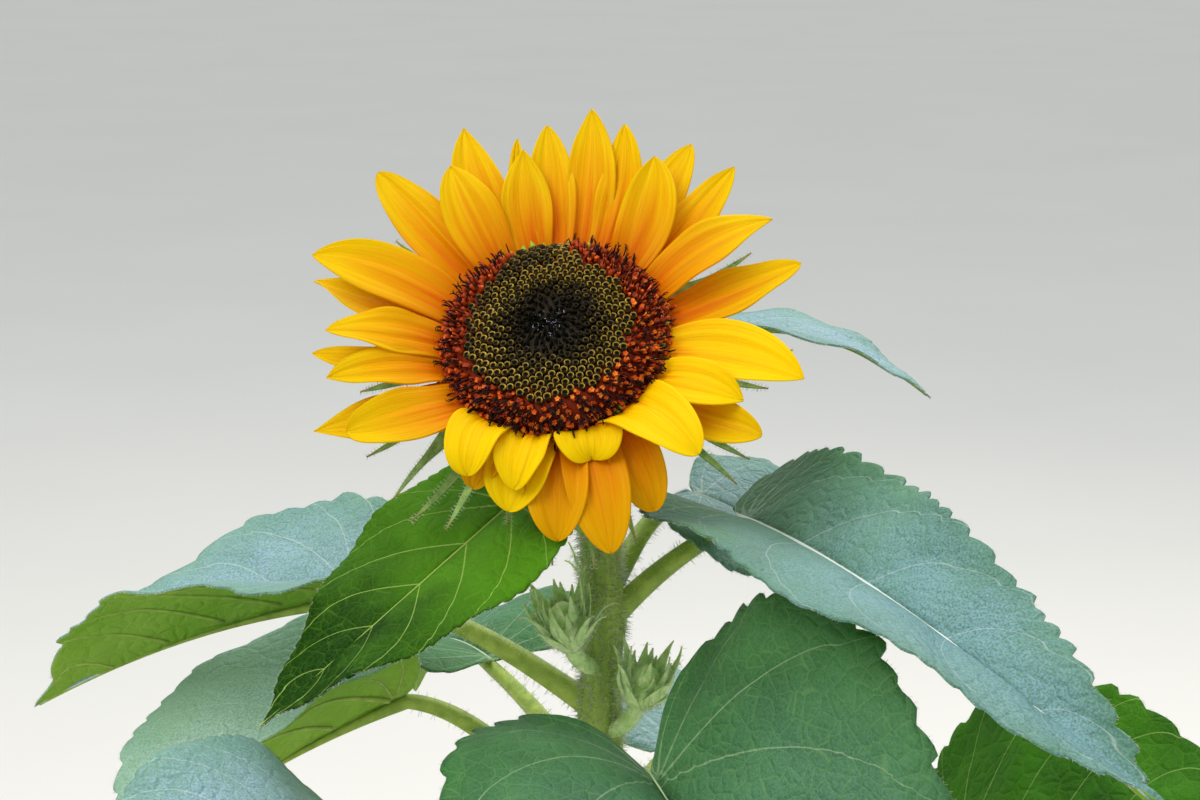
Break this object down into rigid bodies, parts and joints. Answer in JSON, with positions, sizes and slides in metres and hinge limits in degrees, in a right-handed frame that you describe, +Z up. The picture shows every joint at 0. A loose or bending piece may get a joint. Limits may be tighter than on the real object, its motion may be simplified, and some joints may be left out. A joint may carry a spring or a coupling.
{
  "type": "sunflower plant",
  "caption": "Rooted sunflower plant with one open flower head on a bent neck, buds in the leaf axils and heart-shaped leaves round a hairy stem.",
  "frame": {"origin": "middle of the flat cut under the stem, at ground level", "axes": "+Z up along the stem; the flower head looks towards -Y and a little to -X, and +X is to its right as seen from the front"},
  "size_m": [0.3746, 0.3863, 0.5568],
  "materials": {
    "stem": "pale green skin with white bristles",
    "disc_florets": "matt, dark centre, olive closed florets and a red-brown open rim",
    "bracts": "hairy green",
    "rays": "satin golden yellow, orange at the root, ribbed along its length",
    "leaf": "rough blue-green, veined, lighter below",
    "bud": "hairy pale green"
  },
  "bodies": {
    "root": {"stem": "stem", "head_disc": "disc_florets", "head_receptacle": "bracts", "ray_floret_01": "rays", "ray_floret_02": "rays", "ray_floret_03": "rays", "ray_floret_04": "rays", "ray_floret_05": "rays", "ray_floret_06": "rays", "ray_floret_07": "rays", "ray_floret_08": "rays", "ray_floret_09": "rays", "ray_floret_10": "rays", "ray_floret_11": "rays", "ray_floret_12": "rays", "ray_floret_13": "rays", "ray_floret_14": "rays", "ray_floret_15": "rays", "ray_floret_16": "rays", "ray_floret_17": "rays", "ray_floret_18": "rays", "ray_floret_19": "rays", "ray_floret_20": "rays", "ray_floret_21": "rays", "ray_floret_22": "rays", "ray_floret_23": "rays", "ray_floret_24": "rays", "ray_floret_25": "rays", "ray_floret_26": "rays", "ray_floret_27": "rays", "ray_floret_28": "rays", "ray_floret_29": "rays", "ray_floret_30": "rays", "ray_floret_31": "rays", "ray_floret_32": "rays", "leaf_01": "leaf", "leaf_02": "leaf", "leaf_03": "leaf", "leaf_04": "leaf", "leaf_05": "leaf", "leaf_06": "leaf", "leaf_07": "leaf", "leaf_08": "leaf", "leaf_09": "leaf", "leaf_10": "leaf", "leaf_11": "leaf", "leaf_12": "leaf", "leaf_13": "leaf", "leaf_14": "leaf", "leaf_15": "leaf", "leaf_16": "leaf", "bud_01": "bud", "bud_02": "bud", "bud_03": "bud"}
  },
  "joints": []
}
